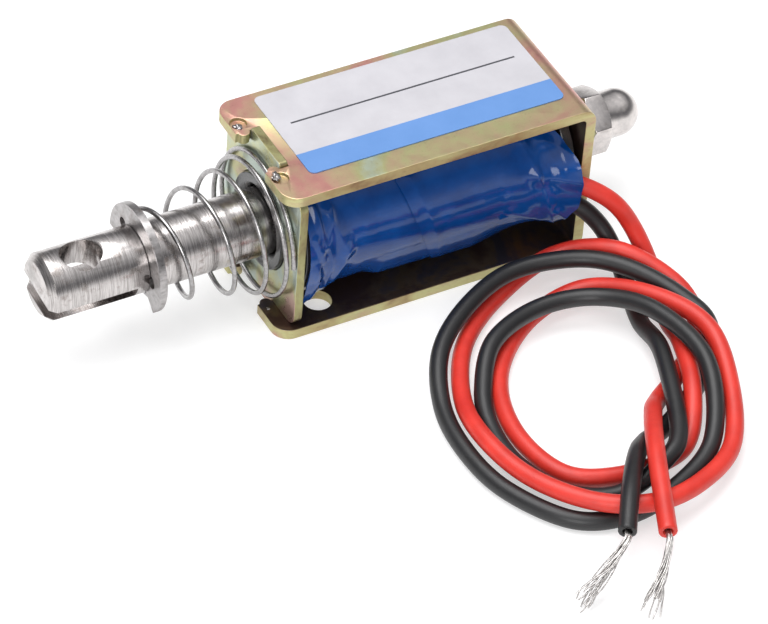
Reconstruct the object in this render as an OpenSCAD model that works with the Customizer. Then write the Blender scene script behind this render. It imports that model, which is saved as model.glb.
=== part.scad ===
// Open-frame push pull solenoid with a conical return spring.
// Millimetres, +Z up. The origin is the centre of the frame's bottom
// mounting face. The plunger points along -X, the cap nut along +X, and a
// pull moves both towards +X.
//
// Main modules: frame_strip, front_plate, bobbin, winding, tape_wrap, label,
// fixed_core, plunger, push_rod, cap_nut, stop_washer, e_clip, return_spring,
// lead_red, lead_black. Leads and spring are swept tubes.

/* [Frame] */
// length of the bent steel frame, along X
frame_len = 30; // [28:0.5:36]
// width of the frame strip, along Y
frame_w = 14; // [14:0.5:18]
// height of the frame over both plates
frame_h = 16; // [16:0.5:20]
// thickness of the frame strip
sheet = 1.0; // [0.8:0.1:1.2]
// outer radius of the two bends at the rear
bend_r = 1.4; // [1.3:0.1:2]
// rounding of the four front ears
ear_r = 1.6; // [1:0.1:2]
// drill diameter of the two tapped mounting holes
mount_hole_d = 2.5; // [2:0.1:3]
// distance of each mounting hole from the frame's centre, along X
mount_hole_x = 10; // [9:0.5:10.5]
// distance of each mounting hole from the frame's centre, along Y
mount_hole_y = 4.4; // [3.8:0.1:4.6]

/* [Front plate] */
// thickness of the plate that closes the front of the coil
plate_t = 0.8; // [0.7:0.1:1]
// how far the plate is set back from the front edge of the ears
plate_back = 1.4; // [1.2:0.1:1.8]
// width of the tongues that pass through the frame
tongue_w = 5.4; // [4.5:0.1:6]
// how far the top tongue stands over the frame
tongue_over = 0.35; // [0.1:0.05:0.5]

/* [Coil] */
// diameter of the bobbin's end flanges
flange_d = 13.7; // [13:0.1:13.8]
// thickness of each bobbin flange
flange_t = 1.0; // [0.8:0.1:1.2]
// outer diameter of the bobbin's tube
tube_d = 7.8; // [7.6:0.1:8.4]
// outer diameter of the collar that shows in the front plate
collar_d = 8.8; // [8.4:0.1:9]
// outer diameter of the copper winding
winding_d = 9.8; // [9:0.1:10]
// outer diameter of the tape wrapped over the winding
tape_d = 13.2; // [13:0.1:13.4]
// thickness of the tape layers
tape_t = 0.2; // [0.15:0.05:0.3]

/* [Plunger] */
// diameter of the plunger
plunger_d = 6.0; // [5.6:0.1:6.2]
// distance from the plunger's tip to the front edge of the frame, at rest
plunger_out = 19.8; // [19.2:0.1:22]
// stroke from rest to pulled in
stroke = 10; // [8:0.5:10]
// width of the slot across the tip
slot_w = 1.4; // [1.2:0.1:1.6]
// distance of the slot's middle below the plunger's axis
slot_off = 1.0; // [0:0.1:1.1]
// depth of the slot from the tip
slot_deep = 8.1; // [7:0.1:8.4]
// diameter of the cross hole through both ears
pin_hole_d = 3.5; // [3:0.1:3.6]
// distance of the cross hole from the tip
pin_hole_x = 3.9; // [3.5:0.1:4.2]
// turn of the plunger about its axis at rest, in degrees
plunger_turn = 6.5; // [-10:0.5:10]

/* [Clip and spring] */
// outer diameter of the retaining clip
clip_d = 9.8; // [9.4:0.1:10.4]
// thickness of the clip
clip_t = 0.7; // [0.6:0.05:0.8]
// distance from the tip to the clip's front face
clip_x = 9.2; // [9:0.1:9.6]
// diameter of the groove that holds the clip
groove_d = 5.0; // [4.6:0.1:5]
// wire diameter of the return spring
spring_wire = 0.45; // [0.35:0.05:0.5]
// middle radius of the spring's small end
spring_r0 = 3.45; // [3.4:0.05:3.6]
// middle radius of the spring's large end
spring_r1 = 6.6; // [6.2:0.1:6.65]
// how far the spring hangs below the plunger's axis
spring_sag = 0.18; // [0:0.02:0.2]

/* [Rod and nut] */
// diameter of the push rod
rod_d = 3.0; // [2.6:0.1:3]
// width of the cap nut across its flats
nut_flats = 5.5; // [5.2:0.1:5.6]
// length of the cap nut over its dome
nut_len = 6.0; // [5.8:0.1:6.2]
// thickness of the soft washer under the nut
washer_t = 1.95; // [1.7:0.05:2.2]

/* [Leads] */
// outer diameter of each lead
lead_d = 1.6; // [1.4:0.1:1.6]
// length of the bare strands at each free end
strand_len = 7.5; // [6:0.5:9]

/* [Hidden] */
$fn = 64;
// radial clearance of the plunger in the bobbin and of the rod in the core
run_clear = 0.08;
// clearance between pieces that are fitted together
fit_clear = 0.05;
// gap left where a stop would touch
stop_gap = 0.05;
// room between plunger and core when fully pulled in
seat_gap = 0.1;

x_front = -frame_len / 2;
x_rear = frame_len / 2;
x_wall = x_rear - sheet;
x_plate = x_front + plate_back;
x_plate_in = x_plate + plate_t;
axis_z = frame_h / 2;
bore_d = plunger_d + 2 * run_clear;

// bobbin stations along X
x_collar = x_plate - 0.35;
x_flange1 = x_plate_in + fit_clear;
x_flange2 = x_wall - 0.3 - flange_t;
x_wind0 = x_flange1 + flange_t;
x_wind1 = x_flange2;

// plunger stations along X
x_tip = x_front - plunger_out;
x_slot_end = x_tip + slot_deep;
x_pin = x_tip + pin_hole_x;
x_clip = x_tip + clip_x;
x_clip_in = x_clip + clip_t;
x_core = 5.5;
x_shoulder = x_core - stroke - seat_gap;
nose_len = 2.0;
nose_d1 = 5.2;
nose_d2 = 3.6;
rod_in = 5;

// core rivet, washer and nut stations along X
rivet_d = 5.0;
rivet_head_d = 5.8;
rivet_over = 0.7;
x_rivet = x_rear + rivet_over;
x_washer = x_rivet + stop_gap;
x_nut = x_washer + washer_t;
x_nut_tip = x_nut + nut_len;
washer_d = 5.2;
hex_len = 2.1;
dome_r = 2.18;
thread_deep = 4.4;
rod_x0 = x_shoulder + nose_len - rod_in;
rod_x1 = x_nut + thread_deep - 0.2;

// the plate's tongue and the frame's notch
plate_half = frame_w / 2 - 0.2;
notch_half = tongue_w / 2 + fit_clear;
plate_r = 1.3;
stake_r = 0.55;
dent_r = 0.75;
dent_deep = 0.35;

// leads under the tape
lead_r = lead_d / 2;
seat_rise = 1.2;
lead_seat_y = -(winding_d / 2 + seat_rise);
red_z = 8.6;
black_z = 6.6;
hump_gap = 0.6;
lead_x0 = 9.5;
splice_len = 3;
splice_d = 1.0;
splice_gap = 0.15;
tail_d = 0.3;

// label on the top plate
label_t = 0.1;
label_x0 = -11.6;
label_x1 = 13.2;
label_y0 = -4.6;
label_y1 = 6.3;
label_r = 0.6;

// Routes of the leads on the floor, in millimetres, laid by hand.
// Each starts under the tape and ends at the bare strands.
ROUTE_RED = [
    [lead_x0, lead_seat_y, red_z], [12, -6.7, 8.6], [14, -8.1, 8.3], [16.1, -9.6, 6.9],
    [17.6, -10.8, 4.4], [18.2, -13.2, 1.7], [17.1, -16.8, 0.8], [16.1, -20, 1.4],
    [15.1, -23.5, 2.5], [13.2, -28.5, 2.7], [10.8, -32.5, 1.3], [8, -34, 0.8],
    [3, -34, 0.8], [-1, -32, 0.8], [-2.4, -27, 0.8], [-1.4, -21.5, 0.8],
    [1.6, -17, 0.8], [6.5, -13.7, 1], [11.5, -13.9, 2.3], [15.2, -18.5, 3.8],
    [17.3, -24, 4], [16.2, -29.8, 2.7], [13, -35.6, 1.8], [8, -38.7, 2.2],
    [3, -39.5, 2.6], [-1.5, -37, 2.4], [-4.7, -32, 2.1], [-5.8, -26, 2],
    [-4.5, -20.3, 1.1], [-1, -14.5, 0.9], [4.5, -10.4, 0.9], [10.8, -8.9, 2.2],
    [15.3, -12.1, 3.8], [18.7, -17.2, 2.4], [18.1, -21.5, 0.9], [13.8, -25.4, 0.9],
    [10.4, -27.7, 1], [8.2, -30.4, 2.8], [5, -36, 4.5], [1.5, -44, 3.8]
];
ROUTE_BLACK = [
    [lead_x0, lead_seat_y, black_z], [12, -6.7, 6.5], [13.8, -7.9, 5.9], [15.3, -9.4, 4.1],
    [15.9, -11.5, 1.9], [15.4, -14.3, 0.9], [14.1, -18.6, 1.1], [12.9, -24, 2.6],
    [9.3, -32.8, 2.7], [6.5, -35.3, 2.3], [2, -36, 0.9], [-2, -34, 0.8],
    [-4.1, -29.5, 0.8], [-4, -24.5, 0.8], [-2.7, -20.7, 1.5], [0.5, -16.7, 2.5],
    [6, -14.7, 2.6], [11, -16, 3.1], [14, -20.7, 4.3], [14.9, -27.8, 4.1],
    [11.7, -34.5, 1.8], [6, -37.5, 0.9], [1, -38.4, 0.8], [-3.3, -36.8, 0.8],
    [-6.5, -31.5, 0.8], [-7.3, -26, 0.8], [-6.5, -20.5, 0.9], [-4, -15.5, 2],
    [0.5, -12, 2.7], [6, -10, 3], [11.5, -11.3, 3.5], [14.9, -14.4, 3.8],
    [17.6, -18.8, 3.2], [18.5, -22.7, 2.3], [15, -27, 1], [9.8, -30.4, 0.8],
    [6.4, -32.2, 1.7], [4, -34.7, 3.3], [1, -38.7, 4.3], [-1.5, -42.5, 3.7]
];
RINGS = 40;

// [Part selection]

// a cylinder along +X from x0 to x1
module rod_x(x0, x1, d) {
    translate([x0, 0, 0])
        rotate([0, 90, 0])
            cylinder(h = x1 - x0, d = d);
}

// a cone along +X from x0 to x1
module cone_x(x0, x1, d0, d1) {
    translate([x0, 0, 0])
        rotate([0, 90, 0])
            cylinder(h = x1 - x0, d1 = d0, d2 = d1);
}

// places children on the plunger's axis
module on_axis() {
    translate([0, 0, axis_z])
        children();
}

// a rectangle from (x0, y0) to (x1, y1) with rounded corners
module round_rect(x0, x1, y0, y1, r) {
    translate([x0 + r, y0])
        square([x1 - x0 - 2 * r, y1 - y0]);
    translate([x0, y0 + r])
        square([x1 - x0, y1 - y0 - 2 * r]);
    for (x = [x0 + r, x1 - r], y = [y0 + r, y1 - r])
        translate([x, y])
            circle(r = r);
}

// turns a flat shape drawn in (Y, Z) into a slab from x0 to x1
module slab_x(x0, x1) {
    translate([x0, 0, 0])
        rotate([90, 0, 90])
            linear_extrude(height = x1 - x0)
                children();
}

// side view of the bent strip, drawn in (X, Z)
module strip_profile() {
    difference() {
        union() {
            translate([x_front, 0])
                square([frame_len - bend_r, frame_h]);
            translate([x_front, bend_r])
                square([frame_len, frame_h - 2 * bend_r]);
            for (z = [bend_r, frame_h - bend_r])
                translate([x_rear - bend_r, z])
                    circle(r = bend_r);
        }
        translate([x_front - 1, sheet])
            square([frame_len - sheet + 1 - 0.4, frame_h - 2 * sheet]);
        translate([x_front - 1, sheet + 0.4])
            square([frame_len - sheet + 1, frame_h - 2 * sheet - 0.8]);
        for (z = [sheet + 0.4, frame_h - sheet - 0.4])
            translate([x_wall - 0.4, z])
                circle(r = 0.4);
    }
}

// outline of the strip seen from above: rounded ears at the front only
module ear_outline() {
    round_rect(x_front, 0, -frame_w / 2, frame_w / 2, ear_r);
    translate([x_front + ear_r, -frame_w / 2])
        square([frame_len - ear_r, frame_w]);
}

// the notches that take the plate's tongues, before staking
module notch_outline() {
    difference() {
        translate([x_front - 1, -notch_half])
            square([x_plate_in + fit_clear - x_front + 1, 2 * notch_half]);
        // the lips that the staking punch pushed over the notch
        for (s = [-1, 1])
            translate([x_plate - fit_clear - stake_r, s * (notch_half + 0.05)])
                circle(r = stake_r);
    }
}

module frame_strip() {
    color([0.80, 0.74, 0.55])
        difference() {
            intersection() {
                translate([0, frame_w / 2, 0])
                    rotate([90, 0, 0])
                        linear_extrude(height = frame_w)
                            strip_profile();
                translate([0, 0, -1])
                    linear_extrude(height = frame_h + 2)
                        ear_outline();
            }
            // tongue notches, top and bottom
            translate([0, 0, -1])
                linear_extrude(height = sheet + 2)
                    notch_outline();
            translate([0, 0, frame_h - sheet - 1])
                linear_extrude(height = sheet + 2)
                    notch_outline();
            // punch marks beside the notches
            for (s = [-1, 1], z = [0, frame_h])
                translate([x_plate - stake_r, s * (notch_half + 1.15), z])
                    cylinder(h = 2 * dent_deep, r = dent_r, center = true);
            // hole for the core's rivet
            on_axis()
                rod_x(x_wall - 1, x_rear + 1, rivet_d + 2 * fit_clear);
            // the two mounting holes lie on a diagonal
            for (s = [-1, 1])
                translate([s * mount_hole_x, s * mount_hole_y, -1])
                    cylinder(h = sheet + 2, d = mount_hole_d);
        }
}

module front_plate() {
    color([0.78, 0.74, 0.60])
        difference() {
            union() {
                slab_x(x_plate, x_plate_in)
                    round_rect(-plate_half, plate_half, sheet, frame_h - sheet, plate_r);
                // the top tongue stands a little over the frame
                slab_x(x_plate, x_plate_in)
                    round_rect(-tongue_w / 2, tongue_w / 2, axis_z, frame_h + tongue_over, 0.3);
                // the bottom tongue ends level with the mounting face
                slab_x(x_plate, x_plate_in)
                    round_rect(-tongue_w / 2, tongue_w / 2, fit_clear, axis_z, 0.3);
            }
            on_axis()
                rod_x(x_plate - 1, x_plate_in + 1, collar_d + 2 * fit_clear);
        }
}

module bobbin() {
    color([0.07, 0.07, 0.08])
        on_axis()
            difference() {
                union() {
                    rod_x(x_collar, x_flange1 + 0.5, collar_d);
                    rod_x(x_flange1, x_wind0, flange_d);
                    rod_x(x_flange1, x_wall, tube_d);
                    rod_x(x_flange2, x_flange2 + flange_t, flange_d);
                }
                rod_x(x_collar - 1, x_wall + 1, bore_d);
                // flared mouth
                cone_x(x_collar - 0.01, x_collar + 0.5, bore_d + 1, bore_d);
                // notch that lets the leads out of the winding space
                translate([x_flange2 - 1, -flange_d, black_z - axis_z - lead_r - 0.15])
                    cube([flange_t + 2, flange_d + lead_seat_y + lead_r + 0.1,
                        red_z - black_z + 2 * lead_r + 0.3]);
            }
}

module winding() {
    color([0.62, 0.29, 0.12])
        on_axis()
            difference() {
                rod_x(x_wind0, x_wind1, winding_d);
                rod_x(x_wind0 - 1, x_wind1 + 1, tube_d);
            }
}

// outline of the hump that the leads raise in the tape
module hump(grow) {
    for (z = [red_z, black_z])
        translate([lead_seat_y, z - axis_z])
            circle(r = lead_r + grow);
    translate([lead_seat_y - lead_r - grow, black_z - axis_z])
        square([lead_r + grow, red_z - black_z]);
}

module tape_wrap() {
    color([0.10, 0.24, 0.55])
        on_axis()
            slab_x(x_wind0 + 0.05, x_wind1 - 1.05)
                difference() {
                    union() {
                        circle(d = tape_d);
                        hump(hump_gap + tape_t);
                    }
                    circle(d = tape_d - 2 * tape_t);
                    hump(hump_gap);
                }
}

module label() {
    color([0.90, 0.89, 0.93])
        translate([0, 0, frame_h])
            linear_extrude(height = label_t)
                round_rect(label_x0, label_x1, label_y0, label_y1, label_r);
}

module fixed_core() {
    color([0.66, 0.66, 0.65])
        on_axis()
            difference() {
                union() {
                    rod_x(x_core, x_wall, plunger_d);
                    rod_x(x_wall - 0.5, x_rear + 0.2, rivet_d);
                    cone_x(x_rear, x_rivet, rivet_head_d, rivet_d - 0.6);
                }
                // seat for the plunger's nose
                cone_x(x_core - 0.01, x_core + nose_len, nose_d1 + 0.1, nose_d2 + 0.1);
                rod_x(x_core - 1, x_rivet + 1, rod_d + 2 * run_clear);
            }
}

module plunger() {
    color([0.72, 0.71, 0.69])
        on_axis()
            rotate([plunger_turn, 0, 0])
                difference() {
                    union() {
                        cone_x(x_tip, x_tip + 0.6, plunger_d - 1.1, plunger_d);
                        rod_x(x_tip + 0.6, x_shoulder, plunger_d);
                        cone_x(x_shoulder, x_shoulder + nose_len, nose_d1, nose_d2);
                    }
                    // slot across the tip
                    translate([x_tip - 1, -plunger_d, -slot_off - slot_w / 2])
                        cube([slot_deep + 1, 2 * plunger_d, slot_w]);
                    // cross hole through both ears, with eased edges
                    translate([x_pin, 0, 0])
                        cylinder(h = plunger_d + 2, d = pin_hole_d, center = true);
                    for (s = [-1, 1])
                        translate([x_pin, 0, s * (plunger_d / 2 - 0.05)])
                            cylinder(h = 0.6, d1 = pin_hole_d + 0.3 - s * 0.3,
                                d2 = pin_hole_d + 0.3 + s * 0.3, center = true);
                    // groove for the clip
                    difference() {
                        rod_x(x_clip - fit_clear, x_clip_in + fit_clear, plunger_d + 1);
                        rod_x(x_clip - 1, x_clip_in + 1, groove_d);
                    }
                    // blind hole for the push rod
                    rod_x(rod_x0 - fit_clear, x_shoulder + nose_len + 1, rod_d + 0.04);
                }
}

module push_rod() {
    color([0.78, 0.77, 0.75])
        on_axis() {
            rod_x(rod_x0, rod_x1 - 0.3, rod_d);
            cone_x(rod_x1 - 0.3, rod_x1, rod_d, rod_d - 0.6);
        }
}

module cap_nut() {
    color([0.85, 0.84, 0.84])
        on_axis()
            difference() {
                union() {
                    intersection() {
                        rotate([9, 0, 0])
                            translate([x_nut, 0, 0])
                                rotate([0, 90, 0])
                                    cylinder(h = hex_len, r = nut_flats / sqrt(3), $fn = 6);
                        // both ends of the hexagon are chamfered
                        union() {
                            cone_x(x_nut, x_nut + 0.35, nut_flats - 0.1, nut_flats + 1.1);
                            rod_x(x_nut + 0.35, x_nut + hex_len - 0.35, nut_flats + 1.1);
                            cone_x(x_nut + hex_len - 0.35, x_nut + hex_len,
                                nut_flats + 1.1, nut_flats - 0.1);
                        }
                    }
                    rod_x(x_nut + hex_len - 0.2, x_nut_tip - dome_r, 2 * dome_r);
                    translate([x_nut_tip - dome_r, 0, 0])
                        sphere(r = dome_r);
                }
                rod_x(x_nut - 1, x_nut + thread_deep, rod_d + 0.04);
            }
}

module stop_washer() {
    color([0.13, 0.13, 0.13])
        on_axis()
            difference() {
                rod_x(x_washer, x_nut, washer_d);
                rod_x(x_washer - 1, x_nut + 1, rod_d + 2 * fit_clear);
            }
}

// flat outline of the clip, drawn in (Y, Z) with its opening along -Z
module clip_outline() {
    difference() {
        circle(d = clip_d);
        circle(d = groove_d + 0.06);
        // wide opening
        polygon([[0, 0], [-clip_d, -clip_d * 0.38], [-clip_d, -clip_d],
            [clip_d, -clip_d], [clip_d, -clip_d * 0.38]]);
        // relief cuts on both sides of the middle prong
        for (s = [-1, 1])
            rotate(s * 72)
                translate([0, plunger_d / 2 + 0.1])
                    circle(r = 0.62);
    }
}

module e_clip() {
    color([0.55, 0.55, 0.55])
        on_axis()
            slab_x(x_clip, x_clip_in)
                rotate(21)
                    clip_outline();
}

// ---- swept tubes ----

// point k of n along a smooth line through the points P
function along(P, k, n) =
    let (m = len(P) - 1, u = k * m / (n - 1), i = min(floor(u), m - 1), f = u - i,
        a = P[max(i - 1, 0)], b = P[i], c = P[i + 1], d = P[min(i + 2, m)])
    0.5 * (2 * b + (c - a) * f + (2 * a - 5 * b + 4 * c - d) * f * f
        + (3 * b - a - 3 * c + d) * f * f * f);

// direction of a chain of points C at its point i
function heading(C, i) =
    let (v = C[min(i + 1, len(C) - 1)] - C[max(i - 1, 0)])
    v / norm(v);

// ring of the tube at point i, side vector kept level
function ring(C, i, r, sides) =
    let (t = heading(C, i), h = cross(t, [0, 0, 1]), s = h / norm(h), u = cross(s, t))
    [for (j = [0 : sides - 1]) C[i] + r * (cos(360 * j / sides) * s + sin(360 * j / sides) * u)];

// closed tube of radius r along the chain of points C
module tube(C, r, sides) {
    n = len(C);
    pts = [for (i = [0 : n - 1]) each ring(C, i, r, sides)];
    skin = [for (i = [0 : n - 2], j = [0 : sides - 1]) each [
        [i * sides + j, i * sides + (j + 1) % sides, (i + 1) * sides + j],
        [i * sides + (j + 1) % sides, (i + 1) * sides + (j + 1) % sides, (i + 1) * sides + j]]];
    caps = [[for (j = [0 : sides - 1]) sides - 1 - j],
        [for (j = [0 : sides - 1]) (n - 1) * sides + j]];
    polyhedron(points = pts, faces = concat(skin, caps), convexity = 10);
}

// ---- return spring ----

spring_turns = 5.25;
spring_steps = 16;
spring_x0 = x_clip_in + spring_wire / 2 + 0.01;
spring_x1 = x_plate - spring_wire / 2 - 0.01;

// radius of the spring after u turns
function coil_r(u) = min(spring_r0 + 0.68 * u, spring_r1);

// share of the spring's length after u turns: the large coils lie closest
function coil_part(u) = 1 - pow(1 - min(max(0, u - 0.75) / 4.5, 1), 2);

// middle of the wire after u turns
function coil_point(u) =
    [spring_x0 + (spring_x1 - spring_x0) * coil_part(u),
        -coil_r(u) * sin(360 * u),
        axis_z - spring_sag * min(u, 1) + coil_r(u) * cos(360 * u)];

// ring of the coil at point i, side vector kept radial
function coil_ring(C, i, r, sides) =
    let (t = heading(C, i), q = C[i] - [C[i][0], 0, axis_z], h = cross(t, cross(q, t)),
        s = h / norm(h), w = cross(t, s))
    [for (j = [0 : sides - 1]) C[i] + r * (cos(360 * j / sides) * s + sin(360 * j / sides) * w)];

module return_spring() {
    n = spring_turns * spring_steps;
    C = [for (k = [0 : n]) coil_point(k / spring_steps)];
    sides = 8;
    pts = [for (i = [0 : n]) each coil_ring(C, i, spring_wire / 2, sides)];
    skin = [for (i = [0 : n - 1], j = [0 : sides - 1]) each [
        [i * sides + j, (i + 1) * sides + j, i * sides + (j + 1) % sides],
        [i * sides + (j + 1) % sides, (i + 1) * sides + j, (i + 1) * sides + (j + 1) % sides]]];
    caps = [[for (j = [0 : sides - 1]) j],
        [for (j = [0 : sides - 1]) (n + 1) * sides - 1 - j]];
    color([0.50, 0.50, 0.50])
        polyhedron(points = pts, faces = concat(skin, caps), convexity = 10);
}

// ---- leads ----

function route_chain(P) = [for (k = [0 : RINGS - 1]) along(P, k, RINGS)];

module lead_red() {
    color([0.85, 0.22, 0.18])
        tube(route_chain(ROUTE_RED), lead_r, 8);
}

module lead_black() {
    color([0.12, 0.12, 0.13])
        tube(route_chain(ROUTE_BLACK), lead_r, 8);
}

// soldered end of a lead on the winding, under the tape
module splice(z) {
    translate([0, lead_seat_y, z])
        rod_x(lead_x0 - splice_len, lead_x0 - splice_gap, splice_d);
}

module splice_red() {
    color([0.75, 0.75, 0.76])
        splice(red_z);
}

module splice_black() {
    color([0.75, 0.75, 0.76])
        splice(black_z);
}

// ends of the winding's wire that rise to the two splices
module coil_tails() {
    color([0.62, 0.29, 0.12])
        for (z = [red_z, black_z])
            translate([lead_x0 - splice_len + 0.4, -winding_d / 2 - 0.02, z])
                rotate([90, 0, 0])
                    cylinder(h = -lead_seat_y - splice_d / 2 - winding_d / 2 - 0.04, d = tail_d);
}

// patch of film that keeps the splices off the outer tape
module splice_patch() {
    color([0.10, 0.24, 0.55])
        translate([lead_x0 - splice_len - 0.2, lead_seat_y - splice_d / 2 - 0.15, black_z - 0.4])
            cube([splice_len, 0.13, red_z - black_z + 0.8]);
}

// bare strands that leave the end of a lead and reach down to the floor
module strands(P, dir) {
    e = P[len(P) - 1];
    t = heading(route_chain(P), RINGS - 1);
    a = e + 0.02 * t;
    b = e + 0.9 * t;
    d = e + strand_len * (0.3 * t + 0.7 * dir);
    c = e + strand_len * (0.25 * t + 0.3 * dir);
    tube([a, b, [c[0], c[1], b[2] / 2 + 0.2], [d[0], d[1], 0.4]], 0.35, 8);
}

module strands_red() {
    color([0.72, 0.71, 0.69])
        strands(ROUTE_RED, [-0.75, -0.66, 0]);
}

module strands_black() {
    color([0.72, 0.71, 0.69])
        strands(ROUTE_BLACK, [-0.97, -0.24, 0]);
}

frame_strip();
front_plate();
bobbin();
winding();
tape_wrap();
label();
fixed_core();
plunger();
push_rod();
cap_nut();
stop_washer();
e_clip();
return_spring();
coil_tails();
splice_red();
splice_black();
splice_patch();
lead_red();
lead_black();
strands_red();
strands_black();
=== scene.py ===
# %% [markdown]
# # A push pull solenoid
#
# The object is a small open-frame solenoid: a bent steel strip holds a taped
# coil, a plunger slides in and out of the coil, and a conical spring pushes it
# back. Two leads leave the coil and lie in loops beside it.
#
# The pieces with a real size come packed from the CAD step. This script loads
# them as a fixed frame and gives the object its looks round that frame.

import math

import bmesh
import bpy
import numpy as np
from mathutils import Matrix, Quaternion, Vector
from mathutils import noise as noise_field


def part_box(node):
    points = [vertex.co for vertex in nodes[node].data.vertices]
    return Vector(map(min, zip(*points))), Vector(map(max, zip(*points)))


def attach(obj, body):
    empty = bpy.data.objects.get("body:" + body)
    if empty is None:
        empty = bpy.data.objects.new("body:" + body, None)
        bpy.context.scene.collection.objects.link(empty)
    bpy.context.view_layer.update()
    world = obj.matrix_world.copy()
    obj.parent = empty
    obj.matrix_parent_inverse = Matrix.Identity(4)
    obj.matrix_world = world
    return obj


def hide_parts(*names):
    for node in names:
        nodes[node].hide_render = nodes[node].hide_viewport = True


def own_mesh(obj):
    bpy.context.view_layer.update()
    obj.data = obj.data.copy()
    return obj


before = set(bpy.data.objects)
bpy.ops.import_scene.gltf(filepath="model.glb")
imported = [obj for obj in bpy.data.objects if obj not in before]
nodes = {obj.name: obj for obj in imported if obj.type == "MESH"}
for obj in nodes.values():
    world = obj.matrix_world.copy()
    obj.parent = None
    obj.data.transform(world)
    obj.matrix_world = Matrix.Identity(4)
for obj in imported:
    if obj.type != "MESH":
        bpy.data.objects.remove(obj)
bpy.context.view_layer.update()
MM = 0.001

# %% [markdown]
# ## Main places
#
# The coil's axis is the line that everything round turns about. It runs along X
# at half the frame's height, so one height and a few stations along X are enough
# to place every piece that is made here.

# %% Stations taken from the frame, in millimetres
def station(node, corner, axis):
    """One coordinate of a CAD node's box in millimetres: corner 0 is low, 1 is high."""
    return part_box(node)[corner]["xyz".index(axis)] / MM


AXIS_Z = (station("fixed_core", 0, "z") + station("fixed_core", 1, "z")) / 2
FRAME_X = (station("frame_strip", 0, "x"), station("frame_strip", 1, "x"))
FRAME_Z = station("frame_strip", 1, "z")
PLATE_X = (station("front_plate", 0, "x"), station("front_plate", 1, "x"))
print(f"axis height {AXIS_Z:.2f}, frame {FRAME_X[0]:.1f} to {FRAME_X[1]:.1f} along X")

# %% [markdown]
# ## Camera
#
# A small object on a product page is taken from far away with a long lens, which
# keeps parallel edges nearly parallel. The camera looks down at the front of the
# frame, from the side that the leads leave, and is tilted a little about its own
# axis. It is placed by two angles and a distance from the point that it aims at.

# %% Camera
VIEW_AZIMUTH = math.radians(-31.44)
VIEW_ELEVATION = math.radians(42.18)
VIEW_ROLL = math.radians(4.72)
VIEW_DISTANCE = 412.66 * MM
VIEW_AIM = Vector((-9.50, -14.72, 8.0)) * MM
LENS = 229.95

camera_data = bpy.data.cameras.new("camera")
camera_data.lens = LENS
camera_data.clip_start = 0.02
camera_data.clip_end = 10
camera = bpy.data.objects.new("camera", camera_data)
bpy.context.scene.collection.objects.link(camera)
bpy.context.scene.camera = camera

level = math.cos(VIEW_ELEVATION)
back = Vector((math.sin(VIEW_AZIMUTH) * level, -math.cos(VIEW_AZIMUTH) * level,
               math.sin(VIEW_ELEVATION)))
camera.rotation_mode = "QUATERNION"
camera.rotation_quaternion = (-back).to_track_quat("-Z", "Y") @ Quaternion((0, 0, 1), VIEW_ROLL)
camera.location = VIEW_AIM + back * VIEW_DISTANCE
print("camera at", [round(c, 3) for c in camera.location], "lens", LENS, "mm")

# %% [markdown]
# ## Small helpers
#
# Shader and geometry trees are built from many nodes. One helper adds a node and
# fills or wires its inputs in the same line, so that a tree reads like a list.
# A second one makes a mesh piece from plain points and faces.

# %% Helpers for nodes and meshes
def add(tree, kind, wired=None, **settings):
    """Adds a node. wired maps input names or numbers to values or to other nodes' sockets."""
    made = tree.nodes.new(kind)
    for key, value in settings.items():
        setattr(made, key, value)
    for key, value in (wired or {}).items():
        if isinstance(value, bpy.types.NodeSocket):
            tree.links.new(value, made.inputs[key])
        else:
            made.inputs[key].default_value = value
    return made


def new_piece(name, points_mm, faces, material=None, smooth=True):
    """A mesh object at the origin from points in millimetres."""
    mesh = bpy.data.meshes.new(name)
    mesh.from_pydata([tuple(p) for p in np.asarray(points_mm, float) * MM], [], faces)
    mesh.validate()
    if smooth:
        mesh.shade_smooth()
    if material:
        mesh.materials.append(material)
    piece = bpy.data.objects.new(name, mesh)
    bpy.context.scene.collection.objects.link(piece)
    return piece


def new_finish(name, colour, metallic=0.0, roughness=0.5, **more):
    """A material with one Principled shader, and its tree and shader for further wiring."""
    finish = bpy.data.materials.new(name)
    finish.use_nodes = True
    tree = finish.node_tree
    shader = tree.nodes["Principled BSDF"]
    shader.inputs["Base Color"].default_value = (*colour, 1)
    shader.inputs["Metallic"].default_value = metallic
    shader.inputs["Roughness"].default_value = roughness
    for key, value in more.items():
        shader.inputs[key.replace("_", " ").title().replace("Ior", "IOR")].default_value = value
    finish.diffuse_color = (*colour, 1)
    return finish, tree, shader


def in_mm(tree, stretch=(1, 1, 1)):
    """Object coordinates in millimetres, stretched along the axes if asked."""
    place = add(tree, "ShaderNodeTexCoord").outputs["Object"]
    scale = tuple(s / MM for s in stretch)
    return add(tree, "ShaderNodeMapping",
               {"Vector": place, "Scale": scale}).outputs["Vector"]


def noise(tree, place, scale, detail=3.0, roughness=0.55, distortion=0.0):
    """Noise at a scale in features per millimetre of the given coordinates."""
    return add(tree, "ShaderNodeTexNoise",
               {"Vector": place, "Scale": scale, "Detail": detail, "Roughness": roughness,
                "Distortion": distortion}).outputs["Fac"]


def ramp(tree, factor, stops):
    """A colour ramp: stops are (position, colour) with a colour of three numbers."""
    made = add(tree, "ShaderNodeValToRGB", {"Fac": factor})
    elements = made.color_ramp.elements
    while len(elements) < len(stops):
        elements.new(0.5)
    for element, (position, colour) in zip(elements, stops):
        element.position = position
        element.color = (*colour, 1)
    return made.outputs["Color"]


def sum_up(tree, operation, *values):
    """A Math node over the given values or sockets."""
    return add(tree, "ShaderNodeMath", dict(enumerate(values)), operation=operation).outputs[0]


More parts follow.
